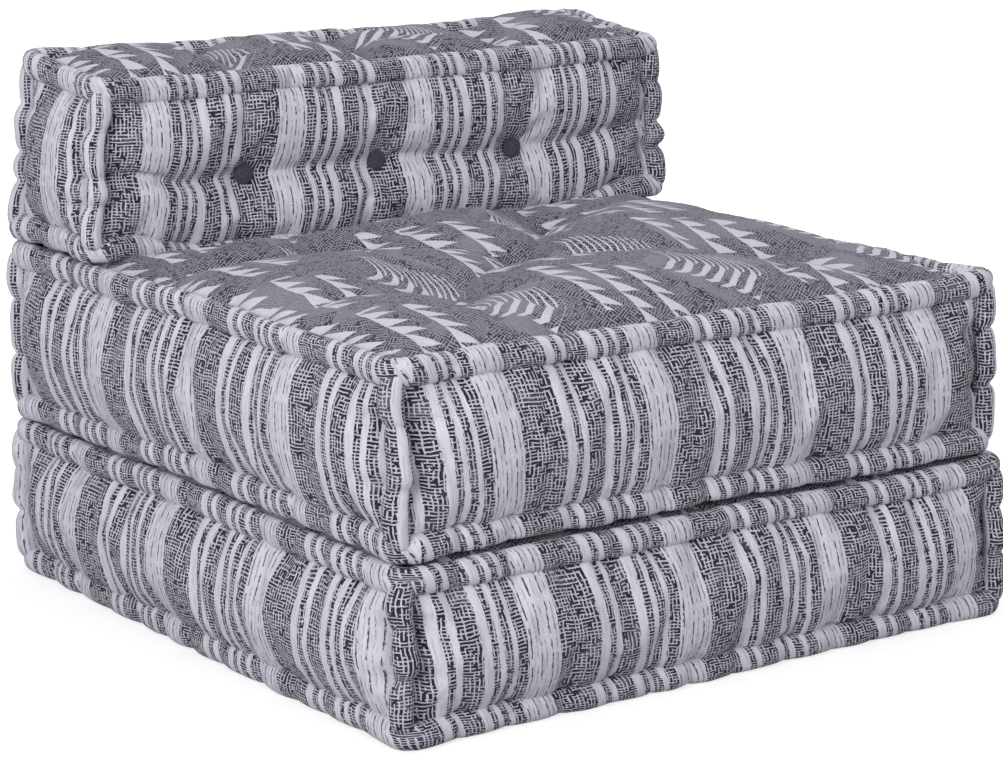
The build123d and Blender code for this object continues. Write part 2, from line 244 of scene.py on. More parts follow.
class Cloth:
    """A fabric material in the making: its coordinates, noises, colours and finish."""

    def __init__(self, name):
        self.material = bpy.data.materials.new(name)
        self.tree = cleared_tree(self.material)
        place = add_node(self.tree, "UVMap")
        place.uv_map = "cloth"
        apart = add_node(self.tree, "SeparateXYZ", place.outputs[0])
        self.along = Term(self.tree, apart.outputs[0])
        self.up = Term(self.tree, apart.outputs[1])

    def noise(self, x, y, z, detail=2.0, scale=1.0):
        """Soft noise of three coordinates, around 0.5."""
        place = add_node(self.tree, "CombineXYZ", x, y, z)
        node = add_node(self.tree, "TexNoise", place.outputs[0], Scale=scale, Detail=detail)
        node.noise_dimensions = "3D"
        return Term(self.tree, node.outputs["Fac"])

    def dice(self, x, y):
        """A random number for each whole x and y."""
        place = add_node(self.tree, "CombineXYZ", x, y)
        node = add_node(self.tree, "TexWhiteNoise", place.outputs[0])
        node.noise_dimensions = "2D"
        return Term(self.tree, node.outputs["Value"])

    def steps(self, value, stops):
        """A stepped table of value: pairs of where a step starts and its height."""
        node = add_node(self.tree, "ValToRGB", value)
        ramp = node.color_ramp
        ramp.interpolation = "CONSTANT"
        while len(ramp.elements) < len(stops):
            ramp.elements.new(1.0)
        for element, (start, height) in zip(ramp.elements, stops):
            element.position = start
        for element, (start, height) in zip(ramp.elements, stops):
            element.color = (height, height, height, 1)
        return Term(self.tree, node.outputs[0])

    def mixed(self, share, first, second):
        """A colour that goes from first to second as share goes from 0 to 1."""
        node = add_node(self.tree, "Mix", share)
        node.data_type = "RGBA"
        ends = [socket for socket in node.inputs if socket.type == "RGBA"]
        for socket, colour in zip(ends, (first, second)):
            if isinstance(colour, tuple):
                socket.default_value = colour + (1,)
            else:
                self.tree.links.new(colour, socket)
        return [socket for socket in node.outputs if socket.type == "RGBA"][0]

    def finish(self, colour, height, bump):
        """The shader: matt cloth with a little sheen and a bump of threads."""
        dent = add_node(self.tree, "Bump", Height=height, Distance=bump, Strength=bump_strength)
        shader = add_node(
            self.tree, "BsdfPrincipled", Base_Color=colour, Normal=dent.outputs[0],
            Roughness=cloth_roughness, Specular_IOR_Level=cloth_specular,
            Sheen_Weight=cloth_sheen, Sheen_Roughness=sheen_roughness,
        )
        add_node(self.tree, "OutputMaterial", shader.outputs[0])
        return self.material


# Colours, as light that the cloth sends back

pale = (0.60, 0.587, 0.66)
pale_shade = (0.42, 0.41, 0.475)
charcoal = (0.017, 0.015, 0.026)
faded = (0.13, 0.126, 0.16)
mid_grey = (0.27, 0.263, 0.315)
mid_shade = (0.10, 0.098, 0.125)
button_dark = (0.036, 0.036, 0.056)
button_worn = (0.075, 0.075, 0.105)
twine_grey = (0.16, 0.155, 0.165)
twine_worn = (0.30, 0.29, 0.30)

# Where the side cloth's pale and dark stripes start, and the dashed threads of the widest
# pale one, as shares of a repeat with 1 for pale or dashed, and less for a faint dash
stripe_shares = [
    (0.0, 0.0), (0.26, 1.0), (0.32, 0.0), (0.36, 1.0), (0.40, 0.0), (0.52, 1.0), (0.575, 0.0),
    (0.617, 1.0), (0.65, 0.0), (0.70, 1.0), (0.733, 0.0), (0.80, 1.0),
]
dash_shares = [
    (0.0, 0.0), (0.815, 1.0), (0.821, 0.0), (0.848, 0.6), (0.853, 0.0), (0.874, 1.0),
    (0.880, 0.0), (0.905, 0.6), (0.910, 0.0), (0.940, 1.0), (0.946, 0.0), (0.972, 0.6),
    (0.977, 0.0),
]
dash_lanes = 33.0
dash_turns = 85.0

# The hatch of the side cloth's dark stripes: how far apart its threads lie and their share
side_hatch = (0.0041, 0.0033, 0.34)
stripe_sway = 0.006
stripe_fray = 0.0035
weft_count = 620.0
rib_count = 560.0

# How many times its drawn size the top cloth's pattern is counted in, to make it smaller
figure_size = 1.2

# The top cloth's pattern: its cell, how far it wanders, and the hatch and twill between
cell_wide = 0.150
cell_deep = 0.185
figure_wander = 0.014
figure_fray = 0.0024
top_hatch = (0.0050, 0.0040, 0.36)
twill_count = 260.0

# Its sawtooth columns: each one's straight side, lowest and highest place in the cell
tooth_deep = 0.030
tooth_wide = 0.025
sawtooth_columns = [(-0.062, -0.070, 0.080), (-0.018, -0.085, 0.065), (0.026, -0.070, 0.050)]

# Its combs: how they lean, how far apart the bars lie and where they bend and end
comb_lean = (0.77, 0.64)
bar_pitch = 0.0165
bar_share = 0.45
thin_share = 0.14
comb_bend = 0.016
comb_low = 0.036
comb_high = 0.068
comb_reach = 0.050


def hatch(cloth, along, up, sizes):
    """Pale threads that cross a dark ground both ways, broken in patches, 1 on a thread."""
    wide, high, weight = sizes
    across = along / wide + (cloth.noise(along, up, 3.0, scale=48.0) - 0.5) * 1.5
    rising = up / high + (cloth.noise(along, up, 7.0, scale=40.0) - 0.5) * 2.0
    patch = cloth.noise(along, up, 9.0, detail=1.0, scale=80.0).ramp(0.38, 0.62)
    column, row = across.floor(), rising.floor()
    upright = across.fract().below(weight)
    level = rising.fract().below(weight)
    column_step = cloth.dice(column, 3.0) * 9.0
    row_step = cloth.dice(row, 5.0) * 9.0
    upright_dice = cloth.dice(column, (rising * 0.8 + column_step).floor())
    level_dice = cloth.dice(row, (across * 0.8 + row_step).floor() + 40.0)
    upright_on = upright_dice.above(patch * 0.5 + 0.03)
    level_on = level_dice.above(patch * -0.45 + 0.48)
    return (upright * upright_on).most(level * level_on)


def striped_cloth():
    """Side cloth: pale and dark hatched stripes along the warp, with dashes in the widest."""
    cloth = Cloth("striped_cloth")
    along = cloth.along * stripe_period
    up = cloth.up * stripe_period
    sway = (cloth.noise(along, up, 1.0, scale=9.0) - 0.5) * stripe_sway
    fray = (cloth.noise(along * 6.0, up, 2.0, scale=160.0) - 0.5) * stripe_fray
    share = ((along + sway + fray) / stripe_period).fract()
    light = cloth.steps(share, stripe_shares)
    dashed = cloth.steps(share, dash_shares)
    lane = (share * dash_lanes + 0.3).floor()
    dash_on = cloth.noise(lane * 7.0, up * dash_turns, 4.0).ramp(0.40, 0.52)
    thread = hatch(cloth, along, up, side_hatch)
    fine = ((up * weft_count).fract() - 0.5).size() * 2.0
    ribs = cloth.noise((along * rib_count).floor() * 3.0, up * 30.0, 8.0)
    speck = cloth.noise(along, up, 5.0, scale=420.0)
    wash = cloth.noise(along, up, 6.0, detail=3.0, scale=26.0).ramp(0.54, 0.7)
    dark = cloth.mixed(wash * 0.7, charcoal, faded)
    dark = cloth.mixed(speck.ramp(0.5, 0.75) * 0.3, dark, faded)
    crossing = cloth.mixed(speck.ramp(0.3, 0.7), pale_shade, pale)
    hatched = cloth.mixed(thread * 0.9, dark, crossing)
    plain = cloth.mixed(ribs.ramp(0.42, 0.7) * 0.8 + speck.ramp(0.4, 0.8) * 0.3, pale, pale_shade)
    plain = cloth.mixed(dashed * dash_on * 0.9, plain, charcoal)
    colour = cloth.mixed(light, hatched, plain)
    height = (thread * 0.6).most(light * 0.8) + fine * 0.25 + ribs * 0.3 + speck * 0.4
    return cloth.finish(colour, height, 0.0009)


def sawtooth(x, y, centre, first, last):
    """One column of pale triangles that hang from a straight side, between two heights."""
    place = x - centre
    tooth = (y / tooth_deep).fract()
    inside = place.above(0.0) * place.below(tooth.opposite() * tooth_wide + 0.001)
    return inside * y.above(first) * y.below(last)


def comb(x, y):
    """Slanted pale bars that bend over and thin out into a bundle of curved lines."""
    lean_x, lean_y = comb_lean
    across = x * lean_x - y * lean_y
    along = x * lean_y + y * lean_x
    bent = (along - comb_bend).most(0.0)
    foot = (along * -1.0 - 0.026).most(0.0)
    lane = across + bent * bent * 11.0
    count = (lane + foot * 0.7) / bar_pitch
    thick = (bent * -16.0 + bar_share).most(thin_share)
    bars = count.fract().below(thick)
    twins = (count + 0.5).fract().below(thin_share) * along.above(0.022)
    inside = along.above(-comb_low) * along.below(comb_high) * lane.size().below(comb_reach)
    return bars.most(twins) * inside


def patterned_cloth():
    """Top cloth: grey twill with traditional sawtooth columns and combs in offset rows."""
    cloth = Cloth("patterned_cloth")
    x = cloth.along * (stripe_period * figure_size)
    y = cloth.up * (stripe_period * figure_size)
    x = x + (cloth.noise(x, y, 1.0, scale=14.0) - 0.5) * figure_wander
    y = y + (cloth.noise(x, y, 2.0, scale=14.0) - 0.5) * figure_wander
    ragged = (cloth.noise(x, y, 6.0, scale=330.0) - 0.5) * figure_fray
    column = (x / cell_wide).floor()
    odd = (column * 0.5).fract() * 2.0
    local_x = ((x / cell_wide).fract() - 0.5) * cell_wide + ragged
    lean = local_x * 0.3
    local_y = (((y + lean) / cell_deep).fract() - 0.5) * cell_deep + ragged
    columns = [sawtooth(local_x, local_y, *column) for column in sawtooth_columns]
    teeth = columns[0].most(columns[1]).most(columns[2])
    light = teeth * odd.opposite() + comb(local_x + 0.010, local_y + 0.010) * odd
    wobble = (cloth.noise(x, y, 3.0, scale=110.0) - 0.5) * 3.0
    twill = ((x + y) * twill_count + wobble).fract().below(0.45)
    cells = hatch(cloth, x + y * 0.6, y - x * 0.6, top_hatch)
    diamond = (local_x.size() * -1.0 + 0.078) * 1.3 + (local_y.size() * -1.0 + 0.092)
    rich = (diamond + cloth.noise(x, y, 4.0, scale=60.0) * 0.02).below(0.078)
    rich = rich.most(cloth.noise(x, y, 8.0, detail=1.0, scale=12.0).ramp(0.38, 0.50) * 0.9)
    speck = cloth.noise(x, y, 5.0, scale=380.0)
    ground = cloth.mixed(twill * 0.7 + speck.ramp(0.4, 0.7) * 0.25, mid_grey, mid_shade)
    strong = cloth.mixed(cells, charcoal, mid_grey)
    ground = cloth.mixed(rich * 0.85 + 0.12, ground, strong)
    bright = cloth.mixed(speck.ramp(0.3, 0.75) * 0.5, pale, pale_shade)
    colour = cloth.mixed(light * 0.93, ground, bright)
    height = light * 0.7 + twill * 0.3 + speck * 0.5
    return cloth.finish(colour, height, 0.0008)


def plain_cloth(name, colour, shade, pitch):
    """A plain weave for buttons and twine."""
    cloth = Cloth(name)
    along = cloth.along * stripe_period
    up = cloth.up * stripe_period
    weft = ((up / pitch).fract() - 0.5).size() * 2.0
    warp = ((along / pitch).fract() - 0.5).size() * 2.0
    speck = cloth.noise(along, up, 5.0, scale=300.0)
    mixed = cloth.mixed(speck.ramp(0.3, 0.75) * 0.7 + weft * warp * 0.3, colour, shade)
    return cloth.finish(mixed, weft * warp + speck, 0.0004)


striped = striped_cloth()
patterned = patterned_cloth()
dark_button = plain_cloth("button_cloth", button_dark, button_worn, 0.0012)
waxed_twine = plain_cloth("twine", twine_grey, twine_worn, 0.0008)


# The cushions, read from the frame

# How the soft cushions lie: drawn-out corners, wandering seams, and the back sunk in
ear_reach = 0.026
ear_size = 0.006
drift_size = 0.0045
drift_turns = 5.5
floor_ease = 0.09
back_sink = 0.022
sink_sides = (0.350, 0.12)
sink_front = (0.09, 0.10)
button_drop = 0.009
same_place = 0.03


def vertices_of(mesh):
    """The places of a mesh's vertices."""
    places = np.empty(len(mesh.vertices) * 3)
    mesh.vertices.foreach_get("co", places)
    return places.reshape(-1, 3)


def separate_places(node):
    """The middle of each separate tie or button of a CAD node."""
    groups = []
    for place in vertices_of(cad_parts[node].data):
        for group in groups:
            if np.hypot(*(group[0] - place)[:2]) < same_place:
                group.append(place)
                break
        else:
            groups.append([place])
    middles = [(np.min(group, 0) + np.max(group, 0)) / 2 for group in groups]
    return sorted(middles, key=lambda place: place[0])


class Cushion:
    """One cushion: the box through its rolled edges, and how its cloth lies on each side."""

    def __init__(self, name, spread, taper, sag, foot_shift, head_shift, stripes):
        self.name, self.body, self.stripes = name, name + "_cushion", stripes
        self.taper, self.sag = np.array(taper), sag
        self.foot_shift, self.head_shift = np.array(foot_shift), np.array(head_shift)
        low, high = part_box(name + "_top_rolled_edge")
        bottom_low, bottom_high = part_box(name + "_bottom_rolled_edge")
        self.low = np.array([low.x + roll_radius, low.y + roll_radius, bottom_high.z - roll_radius])
        self.high = np.array([high.x - roll_radius, high.y - roll_radius, high.z - roll_radius])
        self.low[:2] -= spread
        self.high[:2] += spread
        self.size = self.high - self.low
        self.middle = (self.low + self.high) / 2
        self.tufts = [place - self.low for place in separate_places(name + "_tuft_ties")]
        self.buttons = []
        if name == "back":
            self.buttons = [place - self.low for place in separate_places("back_front_buttons")]
        lower_buttons = [place - (0.0, 0.0, button_drop) for place in self.buttons]
        self.pins = [[], lower_buttons, self.tufts]


# Where the dark hatch starts on each side of a cushion, from the side's left end as seen
# from outside, the length of a repeat, which way it runs, and how far the stripes lean
base_stripes = {
    "front": (0.169, 0.180, 1, 0.12), "left": (0.164, 0.1875, 1, 0.0),
    "rear": (0.05, 0.180, 1, 0.0), "right": (0.11, 0.180, 1, 0.0),
}
seat_stripes = {
    "front": (0.134, 0.178, 1, 0.12), "left": (0.057, 0.176, 1, 0.0),
    "rear": (0.09, 0.180, 1, 0.0), "right": (0.03, 0.180, -1, 0.0),
}
back_stripes = {
    "front": (0.059, 0.168, -1, 0.0), "left": (0.095, 0.172, -1, 0.0),
    "rear": (0.12, 0.175, 1, 0.0), "right": (0.04, 0.175, 1, 0.0),
}

# Each cushion has its name, how far it lies outside its seams' CAD lines, how much narrower
# its top is each way, how far its top hangs down at the front, how far its foot and its
# head lie off their CAD places, and its stripes
cushions = {cushion.name: cushion for cushion in [
    Cushion("base", 0.0, (0.0, 0.0), 0.0, (0.0, 0.0), (-0.001, 0.001), base_stripes),
    Cushion("seat", -0.005, (0.0, 0.0), 0.0, (-0.004, 0.004), (-0.007, 0.005), seat_stripes),
    Cushion("back", 0.0, (0.026, 0.10), 0.017, (-0.002, 0.0), (0.006, 0.0), back_stripes),
]}


def graded(length, fine, coarse, reach):
    """Places along a length, close together near both ends and wider apart between them."""
    places = [0.0]
    step = fine
    while places[-1] + step < length / 2:
        places.append(places[-1] + step)
        if places[-1] > reach:
            step = min(step * 1.12, coarse)
    half = np.array(places)
    half *= (length / 2) / half[-1] if length / 2 - half[-1] < fine else 1.0
    near = list(half)
    if length / 2 - near[-1] > fine * 0.5:
        near.append(length / 2)
    near = np.array(near)
    return np.concatenate([near, length - near[-2::-1]])


def swell(distance, start, reach, power):
    """How far cloth has risen at a distance from its seam: 0 at the seam, 1 past the reach."""
    share = np.clip((distance - start) / (reach - start), 0.0, 1.0)
    return (1 - (1 - share) ** 2) ** power


def stitch_phase(place, length, pitch):
    """Counts the stitches along a seam, which are a little unevenly spaced."""
    count = max(1, round(length / pitch))
    share = place / length
    uneven = 0.17 * np.sin(np.pi * share) * np.sin(2 * np.pi * (2.3 * share + 7 * length))
    return share * count + uneven, count


def scallops(place, length, pitch):
    """1 at each stitch along a seam, falling to 0 midway between two stitches."""
    phase = stitch_phase(place, length, pitch)[0]
    return (0.5 + 0.5 * np.cos(2 * np.pi * phase)) ** 2


def rough(points, scale, seed):
    """Soft noise from -1 to 1 at each point."""
    shift = Vector((seed * 3.7, seed * 1.3, seed * 5.1))
    return np.array([noise.noise(Vector(p) * scale + shift) for p in points])


def sunk(points):
    """How far the seat gives way under the back cushion at each place, less near its ends."""
    inward = np.clip((sink_sides[0] - np.abs(points[:, 0])) / sink_sides[1], 0.0, 1.0)
    under = np.clip((points[:, 1] - sink_front[0]) / sink_front[1], 0.0, 1.0)
    return back_sink * np.sin(np.pi / 2 * inward) ** 2 * np.sin(np.pi / 2 * under) ** 2


def posed(cushion, points):
    """Where points of a cushion lie once it is soft, stacked and leaned on."""
    middle = cushion.middle
    away = points - middle
    rise = np.clip(0.5 + away[:, 2] / cushion.size[2], 0.0, 1.0)
    narrowing = 1 - rise[:, None] * cushion.taper
    forward = np.clip(0.5 - away[:, 1] / cushion.size[1], 0.0, 1.0)
    corner = np.linalg.norm(np.abs(away) - cushion.size / 2, axis=1)
    ear = np.exp(-(corner / ear_reach) ** 2)[:, None] * np.sign(away)
    moved = points.copy()
    moved[:, :2] = middle[:2] + away[:, :2] * narrowing
    moved[:, 2] -= cushion.sag * rise * forward
    if cushion.name == "seat":
        moved[:, 2] -= sunk(points) * rise
    if cushion.name == "back":
        moved[:, 2] -= sunk(points) * (1 - rise)
    moved[:, :2] += cushion.foot_shift + rise[:, None] * (cushion.head_shift - cushion.foot_shift)
    above_floor = np.clip(points[:, 2] / floor_ease, 0.0, 1.0)
    level = np.ones(len(points))
    moved += ear * ear_size * np.stack([level, level, above_floor * 0.5], 1)
    drift = np.array([noise.noise_vector(Vector(point) * drift_turns) for point in points])
    moved[:, :2] += drift[:, :2] * drift_size
    moved[:, 2] += drift[:, 2] * drift_size * above_floor
    return moved


def pit(u, v, place, form, turn):
    """A pinched pit with folds of cloth radiating from it."""
    depth, reach, folds, fold_size = form
    across, along = u - place[0], v - place[1]
    distance = np.hypot(across, along)
    angle = np.arctan2(along, across)
    dip = -depth * np.exp(-(distance / reach) ** 0.9)
    crease = fold_size * np.cos(folds * angle + turn) * np.exp(-distance / (reach * 0.8))
    crease *= np.clip(distance / 0.012, 0.0, 1.0)
    return dip + crease


def valley(u, v, first, second, width):
    """How deep a place lies in the valley from one place to another: 1 along its bottom."""
    a, b = np.array(first[:2]), np.array(second[:2])
    line = b - a
    share = np.clip(((u - a[0]) * line[0] + (v - a[1]) * line[1]) / (line @ line), 0.0, 1.0)
    distance = np.hypot(u - a[0] - share * line[0], v - a[1] - share * line[1])
    return np.exp(-(distance / width) ** 1.6)


def seat_valleys(cushion, u, v):
    """The valleys between the seat's tufts and out to its seams, 1 at the deepest."""
    width, depth = cushion.size[:2]
    tufts = cushion.tufts
    centre = min(tufts, key=lambda place: np.hypot(place[0] - width / 2, place[1] - depth / 2))
    around = [place for place in tufts if place is not centre]
    deepest = np.zeros(len(u))
    for place in around:
        deepest = np.maximum(deepest, valley(u, v, place, centre, 0.030))
    front = sorted(around, key=lambda place: place[1])[:2]
    for place, share in zip(sorted(front, key=lambda place: place[0]), front_valley_shares):
        foot = (width / 2 * (1 + share), 0.0)
        deepest = np.maximum(deepest, 0.9 * valley(u, v, place, foot, 0.028))
    for place in around:
        side = 0.0 if place[0] < width / 2 else width
        deepest = np.maximum(deepest, 0.55 * valley(u, v, place, (side, place[1]), 0.026))
    return deepest


# How far the sides and tops swell, and how far the cloth is held flat beside a seam
band_bulge = 0.022
seat_crown = 0.034
back_crown = 0.026
rear_swell = 0.004
seam_hold = 0.009
corner_hold = 0.012
corner_reaches = (0.07, 0.050)

# How deep stitches, valleys and pits pull the cloth in, and how wide each reaches
band_stitch = 0.0075
corner_stitch = 0.0085
top_stitch = 0.006
gather_size = 0.0022
back_valley = (0.028, 0.020)
button_pit = (0.009, 0.026, 9, 0.0030)
seat_valley = 0.017
seat_pit = (0.017, 0.032, 7, 0.0034)
back_top_valley = (0.014, 0.024)
back_top_fold = (0.007, 0.024)
back_top_pit = (0.014, 0.026, 7, 0.0030)
pit_hold = 0.009

# Soft unevenness of the cloth: its size, its turns per metre and its seed
cloth_lumps = [(0.0030, 9.0, 1), (0.0012, 26.0, 4)]
lump_ease = 0.03

cover_cells = (0.0042, 0.0066)
fine_margin = 0.03

# How far the cloth gives under pressure, beside a corner roll and away from it
give_low = 0.003
give_more = 0.009


def band_height(cushion, side, u, v, length, height):
    """How far a side band stands out, from its place along and up the side."""
    end = np.minimum(u, length - u)
    edge = np.minimum(v, height - v)
    rise = swell(edge, seam_hold, height / 2, 0.62)
    ends = swell(end, corner_hold, corner_reaches[0 if length > 0.3 else 1], 0.62)
    out = band_bulge * rise * ends
    seam = np.exp(-(edge - seam_hold) / 0.020)
    out -= band_stitch * scallops(u, length, scallop_pitch) * seam * ends
    out -= corner_stitch * scallops(v, height, corner_pitch) * np.exp(-(end - 0.007) / 0.026) * rise
    gathers = np.stack([u * 55, v * 9, np.full(len(u), length * 40)], 1)
    out += gather_size * rough(gathers, 1.0, 21) * np.exp(-(edge - seam_hold) / 0.030) * ends
    if side in ("front", "rear") and cushion.name == "back":
        middle = height / 2 - button_drop
        depth, width = back_valley
        out -= depth * ends * np.exp(-(np.abs(v - middle) / width) ** 1.15)
        for index, button in enumerate(cushion.buttons):
            place = (button[0] if side == "front" else length - button[0], middle)
            out += pit(u, v, place, button_pit, index * 1.7)
    return out


def top_height(cushion, u, v, width, depth):
    """How far a crowned top stands up, from its place across and back."""
    end = np.minimum(u, width - u)
    edge = np.minimum(v, depth - v)
    if cushion.name == "seat":
        rise = swell(end, seam_hold, 0.15, 0.6) * swell(edge, seam_hold, 0.15, 0.6)
        rise = 0.85 * rise + 0.15 * np.sin(np.pi * u / width) * np.clip(np.sin(np.pi * v / depth), 0, 1)
        backrest = depth + roll_radius - back_depth
        front_of_back = np.exp(-((backrest - 0.030 - v) / 0.060) ** 2) * swell(end, 0.04, 0.16, 1.0)
        out = seat_crown * rise + rear_swell * front_of_back
        out -= seat_valley * rise * seat_valleys(cushion, u, v)
        for index, place in enumerate(cushion.tufts):
            out += pit(u, v, place, seat_pit, index * 2.1)
        rest = 1 / (1 + np.exp((v - (backrest - 0.015)) / 0.0045))
        flat = pressed_rise * swell(end, seam_hold, 0.04, 0.6) * swell(edge, 0.008, 0.04, 0.6)
        out = out * rest + flat * (1 - rest)
    else:
        rise = swell(end, seam_hold, 0.09, 0.6) * swell(edge, seam_hold, depth / 2, 0.7)
        out = back_crown * rise
        for index, place in enumerate(cushion.tufts):
            out += pit(u, v, place, back_top_pit, index * 1.3)
            line = valley(u, v, (place[0], 0.0), (place[0], depth), back_top_valley[1])
            out -= back_top_valley[0] * rise * line
        fold = np.exp(-(np.abs(v - depth / 2) / back_top_fold[1]) ** 1.4)
        out -= back_top_fold[0] * fold * swell(end, 0.01, 0.1, 0.6)
    out -= top_stitch * scallops(u, width, scallop_pitch) * np.exp(-(edge - seam_hold) / 0.018)
    out -= top_stitch * scallops(v, depth, scallop_pitch) * np.exp(-(end - seam_hold) / 0.018)
    return np.where(edge < seam_hold * 0.9, np.minimum(out, 0.0), out)


def pressed_height(rise, u, v, width, depth):
    """A face that the floor or the next cushion presses flat."""
    end = np.minimum(u, width - u)
    edge = np.minimum(v, depth - v)
    return rise * swell(np.minimum(end, edge), 0.006, 0.035, 0.6)


# The sides of a cushion: the axis each faces along, its end of the mesh and its direction
side_faces = {
    "bottom": (2, 0, -1), "top": (2, -1, 1), "front": (1, 0, -1),
    "rear": (1, -1, 1), "left": (0, 0, -1), "right": (0, -1, 1),
}


def is_pressed(cushion, side):
    """Whether the floor or another cushion presses the whole of a side flat."""
    return side == "bottom" or (side == "top" and cushion.name == "base")


def side_height(cushion, side, place):
    """How far places on a side stand out of the box through the seams."""
    width, depth, height = cushion.size
    if side in ("front", "rear"):
        return band_height(cushion, side, place[:, 0], place[:, 2], width, height)
    if side in ("left", "right"):
        return band_height(cushion, side, place[:, 1], place[:, 2], depth, height)
    if is_pressed(cushion, side):
        rise = floor_rise if (cushion.name, side) == ("base", "bottom") else pressed_rise
        return pressed_height(rise, place[:, 0], place[:, 1], width, depth)
    return top_height(cushion, place[:, 0], place[:, 1], width, depth)


def cover_mesh(cushion):
    """The cover of a cushion as one closed mesh over its six sides, with cloth coordinates."""
    fine, coarse = cover_cells
    size = cushion.size
    axes = [graded(length, fine, coarse, fine_margin) for length in size]
    last = np.array([len(places) for places in axes]) - 1
    cells = np.indices(last + 1)
    surface = ((cells == 0) | (cells == last[:, None, None, None])).any(0)
    index = -np.ones(last + 1, int)
    index[surface] = np.arange(surface.sum())
    where = np.argwhere(surface)
    local = np.stack([axes[a][where[:, a]] for a in range(3)], 1)
    points = cushion.low + local
    shift = np.zeros_like(points)
    sides_met = ((where == 0) | (where == last)).sum(1)
    held = (sides_met > 1).astype(float)
    faces, corners, slots = [], [], []
    for side, (axis, end, sign) in side_faces.items():
        plane_at = last[axis] if end else 0
        inside = (where[:, axis] == plane_at) & (sides_met == 1)
        place = local[inside]
        near = [a for a in range(3) if a != axis]
        out = side_height(cushion, side, place)
        if is_pressed(cushion, side):
            held[inside] = 1.0
        else:
            edge = np.minimum(place, size - place)[:, near].min(1)
            ease = np.clip((edge - seam_hold) / lump_ease, 0.0, 1.0)
            for lump, turns, seed in cloth_lumps:
                out = out + ease * lump * rough(points[inside], turns, seed + axis)
        shift[inside, axis] = sign * out
        for pin in cushion.pins[axis]:
            distance = np.linalg.norm((place - pin)[:, near], axis=1)
            held[np.flatnonzero(inside)[distance < pit_hold]] = 1.0
        plane = np.take(index, plane_at, axis=axis)
        a, b, c, d = plane[:-1, :-1], plane[1:, :-1], plane[1:, 1:], plane[:-1, 1:]
        order = [a, b, c, d] if (sign > 0) != (axis == 1) else [a, d, c, b]
        quads = np.stack([corner.ravel() for corner in order], 1)
        faces.append(quads)
        corners.append(cloth_place(cushion, side, local[quads.ravel()]))
        slots.append(np.full(len(quads), 0 if side in ("top", "bottom") else 1))
    faces, corners, slots = np.concatenate(faces), np.concatenate(corners), np.concatenate(slots)
    from_corner = np.minimum(local[:, :2], size[:2] - local[:, :2]).sum(1)
    give = give_low + give_more * np.clip((from_corner - 0.01) / 0.06, 0.0, 1.0)
    return posed(cushion, points + shift), faces, corners, slots, held, give


def cloth_place(cushion, side, local):
    """Cloth coordinates, in stripe repeats, of places on one side of a cushion."""
    if side in ("top", "bottom"):
        place = local[:, :2].copy()
        for tuft in cushion.tufts:
            away = local[:, :2] - tuft[:2]
            distance = np.linalg.norm(away, axis=1, keepdims=True)
            place += away * 0.35 * np.exp(-distance / 0.035)
        return place / stripe_period
    size = cushion.size
    along = {
        "front": local[:, 0], "rear": size[0] - local[:, 0],
        "left": size[1] - local[:, 1], "right": local[:, 1],
    }[side]
    start, period, way, lean = cushion.stripes[side]
    up = local[:, 2]
    repeats = way * (along + roll_radius + lean * (up - size[2] / 2) - start) / period
    return np.stack([repeats, up / stripe_period], 1)


def joined(parts):
    """Several meshes as one, each given by its points, faces and cloth coordinates."""
    all_points, all_faces, all_places = zip(*parts)
    starts = np.cumsum([0] + [len(points) for points in all_points])
    moved = []
    for start, faces in zip(starts, all_faces):
        moved += [[vertex + start for vertex in face] for face in faces]
    return np.concatenate(all_points), moved, np.concatenate(all_places)


def new_piece(name, points, faces, coordinates, materials, slots=None):
    """A smooth mesh object with cloth coordinates."""
    mesh = bpy.data.meshes.new(name)
    mesh.from_pydata(points.tolist(), [], [list(face) for face in faces])
    layer = mesh.uv_layers.new(name="cloth")
    layer.data.foreach_set("uv", coordinates.astype(np.float32).ravel())
    for material in materials:
        mesh.materials.append(material)
    if slots is not None:
        mesh.polygons.foreach_set("material_index", slots.astype(np.int32))
    mesh.polygons.foreach_set("use_smooth", [True] * len(mesh.polygons))
    mesh.update()
    piece = bpy.data.objects.new(name, mesh)
    bpy.context.scene.collection.objects.link(piece)
    return piece


# The cloth simulation: its length in frames, and the cloth's stiffness and pressure
settle_frames = 20
settle_settings = {
    "quality": 4, "mass": 0.35, "tension_stiffness": 25, "compression_stiffness": 25,
    "shear_stiffness": 8, "bending_stiffness": 0.6, "use_pressure": True,
    "uniform_pressure_force": 4, "shrink_min": -0.025, "vertex_group_mass": "held",
}


def settle(piece, held, give):
    """Lets the cover's cloth swell and crease under pressure, each point as far as it gives."""
    group = piece.vertex_groups.new(name="held")
    group.add(np.flatnonzero(held).tolist(), 1.0, "ADD")
    cloth = piece.modifiers.new("cloth", "CLOTH")
    for name, value in settle_settings.items():
        setattr(cloth.settings, name, value)
    cloth.settings.effector_weights.gravity = 0
    cloth.collision_settings.use_collision = False
    cloth.point_cache.frame_end = settle_frames
    scene = bpy.context.scene
    for step in range(1, settle_frames + 1):
        scene.frame_set(step)
    moved = piece.evaluated_get(bpy.context.evaluated_depsgraph_get()).data
    before = vertices_of(piece.data)
    step = vertices_of(moved) - before
    length = np.linalg.norm(step, axis=1, keepdims=True)
    step *= np.minimum(1.0, give[:, None] / np.maximum(length, 1e-9))
    piece.modifiers.remove(cloth)
    piece.data.vertices.foreach_set("co", (before + step).ravel())
    piece.data.update()
    scene.frame_set(1)


def smooth(piece):
    """Adds one round of subdivision and applies it."""
    modifier = piece.modifiers.new("smooth", "SUBSURF")
    modifier.levels = modifier.render_levels = 1
    modifier.uv_smooth = "PRESERVE_BOUNDARIES"
    graph = bpy.context.evaluated_depsgraph_get()
    mesh = bpy.data.meshes.new_from_object(piece.evaluated_get(graph))
    piece.modifiers.remove(modifier)
    piece.data = mesh


